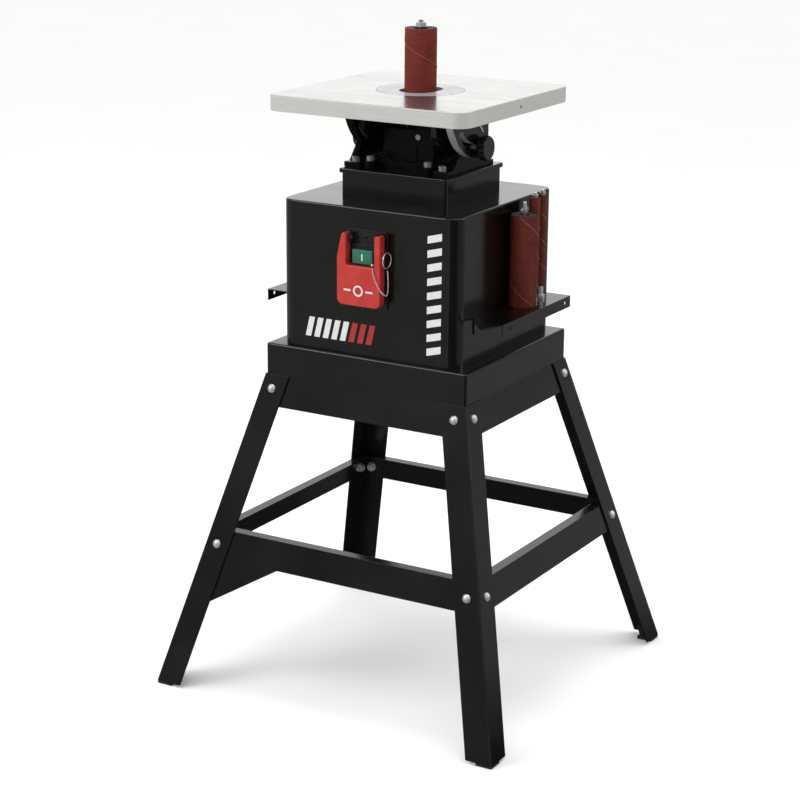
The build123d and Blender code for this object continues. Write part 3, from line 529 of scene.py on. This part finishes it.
def sleeve(name, centre, z_low, z_high, outer, inner, material, body, node, turns, phase,
           seam_width=0.0042, segments=224):
    """A rolled cloth tube with a proud helical lap seam and softly torn ends."""
    rng = random.Random(int(phase * 1000) + 11)
    height = z_high - z_low
    pitch = height / turns
    rows = max(24, int(height / ROW_HEIGHT))
    ragged = [rng.uniform(-1, 1) for _ in range(segments)]
    verts, faces = [], []
    for j in range(rows + 1):
        share = j / rows
        row_z = z_low + height * share
        end = min(share, 1 - share) * height
        for i in range(segments):
            angle = math.tau * i / segments
            start = (phase - angle / math.tau) % 1.0
            along_seam = (((row_z - z_low) / pitch - start) % 1.0) * pitch
            radius = sleeve_radius(outer, along_seam, pitch, seam_width)
            if end < END_ZONE:
                radius -= END_TURN_IN * (1 - end / END_ZONE) * (1 + 0.5 * ragged[i])
            z = row_z
            if j in (0, rows):
                z += END_RAGGED * ragged[i] * (1 if j == 0 else -1)
            verts.append(on_circle(centre, radius, angle, z))
    for j in range(rows):
        for i in range(segments):
            a = j * segments + i
            b = j * segments + (i + 1) % segments
            faces.append((a, b, b + segments, a + segments))
    # ends and inner wall
    bore_top = len(verts)
    bore_base = bore_top + segments
    for z in (z_high - 0.0001, z_low + 0.0001):
        for i in range(segments):
            verts.append(on_circle(centre, inner, math.tau * i / segments, z))
    loops = (rows * segments, bore_top, bore_base, 0)
    for i in range(segments):
        k = (i + 1) % segments
        for a, b in zip(loops, loops[1:]):
            faces.append((a + i, a + k, b + k, b + i))
    tube = smooth_object(name, verts, faces, material, body)
    tube.data.set_sharp_from_angle(angle=math.radians(40))
    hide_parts(node)

    # the bare cut edge of the cloth, a paler line along the lap
    verts, faces, previous = [], [], None
    steps = int(EDGE_STEPS * turns)
    for i in range(steps + 1):
        z = z_low + height * (i / steps)
        angle = math.tau * (phase - (z - z_low) / pitch)
        if z < z_low + 0.0010 or z > z_high - 0.0014:
            continue
        half = EDGE_HALF * (1 + 0.35 * rng.uniform(-1, 1))
        # across the line: rise along the axis, step out from the cloth
        section = ((-half, -0.00030), (-half * 0.6, 0.00005),
                   (half * 0.6, 0.00005), (half, -0.00010))
        row = range(len(verts), len(verts) + len(section))
        for rise, out in section:
            verts.append(on_circle(centre, outer + out, angle, z + rise))
        if previous:
            for k in range(3):
                faces.append((previous[k], row[k], row[k + 1], previous[k + 1]))
        previous = row
    seam = smooth_object(name + "_seam", verts, faces, "cloth_edge", body)
    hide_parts(node)


def drum_core(name, centre, z_low, z_high, outer, bore):
    """A turned core with chamfered ends and a bore."""
    chamfer, bore_chamfer, segments = 0.0008, 0.0008 * 0.7, 96
    profile = [(bore, z_low), (outer - chamfer, z_low), (outer, z_low + chamfer),
               (outer, z_high - chamfer), (outer - chamfer, z_high),
               (bore + bore_chamfer, z_high), (bore, z_high - bore_chamfer)]
    verts = [on_circle(centre, radius, math.tau * i / segments, z)
             for i in range(segments) for radius, z in profile]
    faces = []
    count = len(profile)
    for i in range(segments):
        a, b = i * count, ((i + 1) % segments) * count
        for j in range(count):
            k = (j + 1) % count
            faces.append((a + j, b + j, b + k, a + k))
    core = smooth_object(name, verts, faces, "core_rubber", "frame")
    core.data.set_sharp_from_angle(angle=math.radians(30))
    return core


low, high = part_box("sanding_sleeve")
sleeve("abrasive_sleeve", (0, 0), low.z, high.z, outer=half_width(low, high),
       inner=half_width(*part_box("drum_core")) + 0.00005, material="abrasive", body="spindle",
       node="sanding_sleeve", turns=1.7, phase=0.06)

SIZE_LIMIT = 0.015      # radius that parts the wide spare drums from the narrow
# node, seam turns, seam phase, cloth thickness
SPARE_DRUMS = (
    ("spare_drum_large", 1.2, 0.962, 0.0012),
    ("spare_drum_medium", 3.1, 0.1, 0.0009),
    ("spare_drum_small", 3.6, 0.7, 0.0009),
)
for node_name, turns, phase, wall in SPARE_DRUMS:
    low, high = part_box(node_name)
    centre = (low + high) / 2
    outer = half_width(low, high)
    wide = outer > SIZE_LIMIT
    sleeve(node_name + "_cloth", centre, low.z, high.z, outer, outer - wall, "abrasive_spare",
           "frame", node_name, turns, phase, seam_width=0.0036 if wide else 0.0022,
           segments=160 if wide else 88)
    # bore left for the storage post
    core = drum_core(node_name + "_core", centre, low.z + 0.0004, high.z - 0.0008,
                     outer=outer - wall, bore=0.0033 if outer < SIZE_LIMIT else 0.0085)
    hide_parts(node_name)


# ---------------------------------------------------------------------------
# split ring and ball chain
# ---------------------------------------------------------------------------
def add_tube(bm, points, radius, segments):
    """A capped round tube along a line of points."""
    rings = []
    reference = Vector((0.13, 0.21, 0.97)).normalized()
    for i, point in enumerate(points):
        ahead = (points[min(i + 1, len(points) - 1)] - points[max(i - 1, 0)]).normalized()
        side = ahead.cross(reference)
        if side.length < 1e-4:
            side = ahead.cross(Vector((1, 0, 0)))
        side.normalize()
        other = ahead.cross(side).normalized()
        ring = []
        for k in range(segments):
            angle = math.tau * k / segments
            offset = (side * math.cos(angle) + other * math.sin(angle)) * radius
            ring.append(bm.verts.new(point + offset))
        rings.append(ring)
    for first, second in zip(rings, rings[1:]):
        skin(bm, first, second)
    bm.faces.new(rings[0])
    bm.faces.new(rings[-1])


def catmull_rom(points, steps):
    """A smooth curve through the points, with this many steps between neighbours."""
    curve = []
    padded = [points[0] * 2 - points[1]] + points + [points[-1] * 2 - points[-2]]
    for a, b, c, d in zip(padded, padded[1:], padded[2:], padded[3:]):
        for k in range(steps):
            t = k / steps
            curve.append(0.5 * ((2 * b) + (c - a) * t + (2 * a - 5 * b + 4 * c - d) * t * t
                                + (3 * b - a - 3 * c + d) * t ** 3))
    curve.append(points[-1])
    return curve


def evenly_spaced(path, step):
    even, walked = [path[0]], 0.0
    for a, b in zip(path, path[1:]):
        left = (b - a).length
        while walked + left >= step:
            a = a.lerp(b, (step - walked) / left)
            even.append(a.copy())
            left = (b - a).length
            walked = 0.0
        walked += left
    return even


def millimetres(x, y, z):
    return Vector((x, y, z)) / 1000.0


# x, y, z of the hanging chain in millimetres, from one upper end to the other
CHAIN_LINE = ((25.5, -192.5, 744.0), (31.0, -193.6, 727.0), (41.5, -192.0, 709.0),
              (47.5, -184.0, 702.0), (49.0, -182.0, 715.0), (49.3, -183.0, 732.0),
              (48.4, -183.0, 744.0))
BEAD_PITCH = 0.0027
BEAD_RADIUS = 0.00115
RING_STEPS = 240
RING_TURNS = 2
# millimetres: the split ring is a flat coil about a line parallel to X
RING_CENTRE = (47.0, -183.0, 759.0)
RING_RADIUS = 12.5
RING_WIDTH = 1.1


def ball_chain():
    path = catmull_rom([millimetres(*point) for point in CHAIN_LINE], steps=60)
    beads = evenly_spaced(path, BEAD_PITCH)
    bm = bmesh.new()
    add_tube(bm, beads, radius=0.00034, segments=6)
    for bead in beads:
        bmesh.ops.create_uvsphere(bm, u_segments=14, v_segments=10, radius=BEAD_RADIUS,
                                  matrix=Matrix.Translation(bead))
    # connector: a small sleeve over four beads near the middle
    middle = len(beads) * 45 // 100
    add_tube(bm, beads[middle - 1:middle + 3], radius=0.00165, segments=12)
    return from_bmesh("ball_chain", bm, "zinc", "frame", sharp_degrees=60)


def split_ring():
    coil = []
    ring_x, ring_y, ring_z = RING_CENTRE
    for i in range(RING_STEPS + 1):
        angle = math.tau * RING_TURNS * i / RING_STEPS + 0.6
        coil.append(millimetres(ring_x - RING_WIDTH / 2 + RING_WIDTH * i / RING_STEPS,
                                ring_y + RING_RADIUS * math.cos(angle),
                                ring_z + RING_RADIUS * math.sin(angle)))
    bm = bmesh.new()
    add_tube(bm, coil, radius=0.00062, segments=8)
    return from_bmesh("split_ring", bm, "zinc", "frame", sharp_degrees=60)


chain = ball_chain()
ring = split_ring()
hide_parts("key_chain")
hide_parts("key_chain")

# ---------------------------------------------------------------------------
# printed marks: stripes on the front wall, off and on symbols
# ---------------------------------------------------------------------------
CORNER_RADIUS = 0.0006
CORNER_STEPS = 4


def plate(bm, outline, y_front, y_back):
    """A thin flat plate from an (x, z) outline, with rounded corners."""
    rounded = []
    count = len(outline)
    for i in range(count):
        corner, before, after = (Vector(outline[k]) for k in (i, i - 1, (i + 1) % count))
        radius = min(CORNER_RADIUS, (before - corner).length * 0.4,
                     (after - corner).length * 0.4)
        back, onward = (before - corner).normalized(), (after - corner).normalized()
        for k in range(CORNER_STEPS + 1):
            t = k / CORNER_STEPS
            rounded.append(corner + back * radius * (1 - t) ** 2 + onward * radius * t ** 2)
    front, rear = ([bm.verts.new((point.x, y, point.y)) for point in rounded]
                   for y in (y_front, y_back))
    bm.faces.new(front)
    bm.faces.new(rear[::-1])
    skin(bm, front, rear)


def rectangle(x, z, half_x, half_z):
    return [(x - half_x, z - half_z), (x + half_x, z - half_z),
            (x + half_x, z + half_z), (x - half_x, z + half_z)]


wall_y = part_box("cabinet_shell")[0].y
WALL_PRINT = (wall_y - 0.00012, wall_y + 0.0001)

COLUMN_LEFT, COLUMN_RIGHT = 0.1115, 0.1375
COLUMN_LOW, COLUMN_HIGH = 0.608, 0.814
COLUMN_BARS = 9
COLUMN_PITCH = (COLUMN_HIGH - COLUMN_LOW) / COLUMN_BARS
ROW_LEFT, ROW_PITCH = -0.118, 0.0165
ROW_LOW, ROW_HIGH = 0.611, 0.644
ROW_BAR, ROW_LEAN = 0.0105, 0.008       # bar width, and how far its top leans right


def column_bar(bm, index):
    """One slanted bar of the column on the right of the front wall."""
    z = COLUMN_LOW + COLUMN_PITCH * index
    rise, thick = COLUMN_PITCH * 0.30, COLUMN_PITCH * 0.52
    plate(bm, [(COLUMN_LEFT, z), (COLUMN_RIGHT, z + rise), (COLUMN_RIGHT, z + rise + thick),
               (COLUMN_LEFT, z + thick)], *WALL_PRINT)


def row_bar(bm, index):
    """One leaning bar of the short row on the left of the front wall."""
    x = ROW_LEFT + index * ROW_PITCH
    plate(bm, [(x, ROW_LOW), (x + ROW_BAR, ROW_LOW), (x + ROW_BAR + ROW_LEAN, ROW_HIGH),
               (x + ROW_LEAN, ROW_HIGH)], *WALL_PRINT)


bm = bmesh.new()
for i in range(COLUMN_BARS):
    column_bar(bm, i)
for i in range(5):
    row_bar(bm, i)
from_bmesh("front_stripes_white", bm, "white_print", "frame")
bm = bmesh.new()
for i in range(5, 8):
    row_bar(bm, i)
from_bmesh("front_stripes_red", bm, "red_print", "frame")


def ring_mark(bm, x, z, outer, inner, y_front, y_back, segments=56):
    loops = []
    for radius, y in ((outer, y_front), (inner, y_front), (inner, y_back), (outer, y_back)):
        loops.append([bm.verts.new((x + radius * math.cos(math.tau * k / segments), y,
                                    z + radius * math.sin(math.tau * k / segments)))
                      for k in range(segments)])
    for first, second in zip(loops, loops[1:] + loops[:1]):
        skin(bm, first, second)


def symbol_depth(low):
    """Front and back y of a symbol on the front of a box."""
    return low.y - 0.00015, low.y + 0.0002


# off: a ring between two dashes on the stop paddle
OFF_X, OFF_Z = -0.0025, 0.7045
depth = symbol_depth(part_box("stop_paddle")[0])
bm = bmesh.new()
ring_mark(bm, OFF_X, OFF_Z, 0.0092, 0.0062, *depth)
for side in (-1, 1):
    plate(bm, rectangle(OFF_X + side * 0.0205, OFF_Z, half_x=0.0065, half_z=0.0016), *depth)
from_bmesh("off_symbol", bm, "white_print", "stop_paddle")

# on: an upright bar at the middle of the start button
low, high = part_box("start_button")
bm = bmesh.new()
plate(bm, rectangle((low.x + high.x) / 2, (low.z + high.z) / 2, half_x=0.0011, half_z=0.0055),
      *symbol_depth(low))
from_bmesh("on_symbol", bm, "white_print", "start_button")


def insert_joint(segments=160):
    """Hairline joint round the table insert."""
    radius = half_width(*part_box("table_insert"))
    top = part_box("table")[1].z
    bm = bmesh.new()
    loops = []
    # step out from the insert's rim, height above the table
    for out, lift in ((-0.00045, 0.00004), (-0.0002, 0.00006), (0.0004, 0.00006),
                      (0.0007, 0.00004)):
        loops.append([bm.verts.new(on_circle((0, 0), radius + out, math.tau * k / segments,
                                             top + lift)) for k in range(segments)])
    for first, second in zip(loops, loops[1:]):
        skin(bm, first, second)
    from_bmesh("insert_joint_line", bm, "joint_line", "table", sharp_degrees=35)


insert_joint()

# ---------------------------------------------------------------------------
# floor
# ---------------------------------------------------------------------------
# degrees from the front, positive to the right; brightness seen by reflections
FLOOR_GLOW = ((-180, 0.30), (-60, 0.38), (-25, 0.35), (3, 0.36), (7, 0.42), (9, 1.0),
              (11, 0.30), (15, 0.07), (62, 0.06), (85, 0.30), (180, 0.30))


def floor_paper():
    """White paper that glossy rays see as a mostly darker, uneven glow."""
    mat = Surface("floor_paper")
    mat.finish(color=mat.mix(mat.noise(scale=3.0), base=(0.92, 0.92, 0.915),
                             over=(0.95, 0.95, 0.945)), rough=0.7, spec=0.1)
    glow = mat.node("ShaderNodeEmission")
    place = mat.node("ShaderNodeNewGeometry").outputs["Position"]
    x, y, _ = mat.axes(place)
    azimuth = mat.math("ARCTAN2", x, mat.mul(y, -1.0))
    turn = mat.math("MULTIPLY_ADD", azimuth, 0.5 / math.pi, 0.5)
    stops = [(0.5 + degrees / 360.0, level) for degrees, level in FLOOR_GLOW]
    mat.put(glow.inputs[0], mat.ramp(turn, stops, tint=(1.0, 1.0, 0.97)))
    # the glow dims towards the sander: painted shade round its feet, seen only in reflections
    distance = mat.vector("LENGTH", place)
    mat.put(glow.inputs[1], mat.remap(distance, span=(0.35, 1.15), to=(0.12, 1.0)))
    choice = mat.node("ShaderNodeMixShader")
    mat.put(choice.inputs[0], mat.node("ShaderNodeLightPath").outputs["Is Glossy Ray"])
    mat.put(choice.inputs[1], mat.shader.outputs[0])
    mat.put(choice.inputs[2], glow.outputs[0])
    mat.put(mat.out.inputs[0], choice.outputs[0])
    return mat.material


bm = bmesh.new()
bmesh.ops.create_circle(bm, cap_ends=True, segments=96, radius=30.0)
bmesh.ops.translate(bm, verts=bm.verts, vec=(0, 0, -0.0002))
floor_mesh = bpy.data.meshes.new("floor")
bm.to_mesh(floor_mesh)
bm.free()
link_object("floor", floor_mesh, floor_paper())

# ---------------------------------------------------------------------------
# world
# ---------------------------------------------------------------------------
# elevation in degrees, radiance: the sky behind the sander, and the rest
BACK_SKY = ((-2, 1.9), (7.4, 1.85), (9.6, 1.55), (11.4, 1.2), (30, 0.9), (90, 0.9))
FRONT_SKY = ((-5, 0.25), (4, 0.10), (8, 0.24), (13, 0.34), (35, 0.6), (90, 1.1))
SKY_SCALE = 3.0                         # ramps hold radiance over this
BACK_HEADING = (-0.506, 0.862, 0.0)     # level, away from the camera
BRIGHT_SIDE = (-0.42, -0.60, 0.10)      # diffuse light is stronger from the front left
CAMERA_SKY = (1.03, 1.03, 1.03)         # what the camera sees beyond the floor

scene.world = bpy.data.worlds.new("studio")
scene.world.use_nodes = True
sky = Nodes(scene.world.node_tree)


def sky_ramp(height, stops):
    return sky.ramp(height, [(0.5 + 0.5 * math.sin(math.radians(elevation)), level / SKY_SCALE)
                             for elevation, level in stops])


heading = sky.node("ShaderNodeTexCoord").outputs["Generated"]
# 0 straight down, 0.5 at the horizon, 1 straight up
height = sky.math("MULTIPLY_ADD", sky.axes(heading)[2], 0.5, 0.5)
back = sky_ramp(height, BACK_SKY)
front = sky_ramp(height, FRONT_SKY)
level_heading = sky.vector("MULTIPLY", heading, (1, 1, 0), output="Vector")
level_heading = sky.vector("NORMALIZE", level_heading, output="Vector")
backness = sky.remap(sky.vector("DOT_PRODUCT", level_heading, BACK_HEADING),
                     span=(0.60, 0.90), interpolation_type="SMOOTHSTEP")
reflected = sky.node("ShaderNodeVectorMath", operation="SCALE")
sky.put(reflected.inputs[0], sky.mix(backness, front, back))
sky.put(reflected.inputs["Scale"], SKY_SCALE)
diffuse = sky.math("MULTIPLY_ADD", sky.vector("DOT_PRODUCT", heading, BRIGHT_SIDE), 1.05, 1.0)
ray = sky.node("ShaderNodeLightPath").outputs
light = sky.mix(ray["Is Glossy Ray"], diffuse, reflected.outputs[0])
background = sky.tree.nodes["Background"]
sky.put(background.inputs[0], sky.mix(ray["Is Camera Ray"], light, CAMERA_SKY))
background.inputs[1].default_value = 0.97


# ---------------------------------------------------------------------------
# lights and camera
# ---------------------------------------------------------------------------
def area(name, place, target, width, height, power):
    lamp = bpy.data.lights.new(name, "AREA")
    lamp.shape = "RECTANGLE"
    lamp.size = width
    lamp.size_y = height
    lamp.energy = power
    made = bpy.data.objects.new(name, lamp)
    made.location = place
    aim = Vector(target) - Vector(place)
    made.rotation_euler = aim.to_track_quat("-Z", "Y").to_euler()
    scene.collection.objects.link(made)
    return lamp


area("key", place=(-1.9, -2.4, 2.6), target=(0, 0, 0.8), width=1.6, height=1.6, power=34)
top_light = area("top", place=(0.2, 0.6, 3.2), target=(0, 0, 0.9), width=2.2, height=2.2,
                 power=30)
top_light.specular_factor = 0.3
area("rim", place=(2.6, 1.6, 1.5), target=(0, 0, 0.6), width=1.2, height=2.0, power=14)

CAMERA_PLACE = (1.77556, -3.08235, 1.51469)
YAW, PITCH, ROLL = (math.radians(degrees) for degrees in (30.42, -16.28, 0.44))

lens = bpy.data.cameras.new("camera")
lens.sensor_fit = "HORIZONTAL"
lens.sensor_width = 36.0
lens.lens = 97.83855
lens.clip_end = 60
camera = bpy.data.objects.new("camera", lens)
forward = Vector((-math.sin(YAW) * math.cos(PITCH), math.cos(YAW) * math.cos(PITCH),
                  math.sin(PITCH)))
right = Vector((math.cos(YAW), math.sin(YAW), 0))
up = right.cross(forward)
rolled_right = right * math.cos(ROLL) + up * math.sin(ROLL)
rolled_up = -right * math.sin(ROLL) + up * math.cos(ROLL)
pose = Matrix((rolled_right, rolled_up, -forward)).transposed().to_4x4()
pose.translation = CAMERA_PLACE
camera.matrix_world = pose
scene.collection.objects.link(camera)
scene.camera = camera
scene.view_settings.view_transform = "Standard"
scene.view_settings.look = "None"
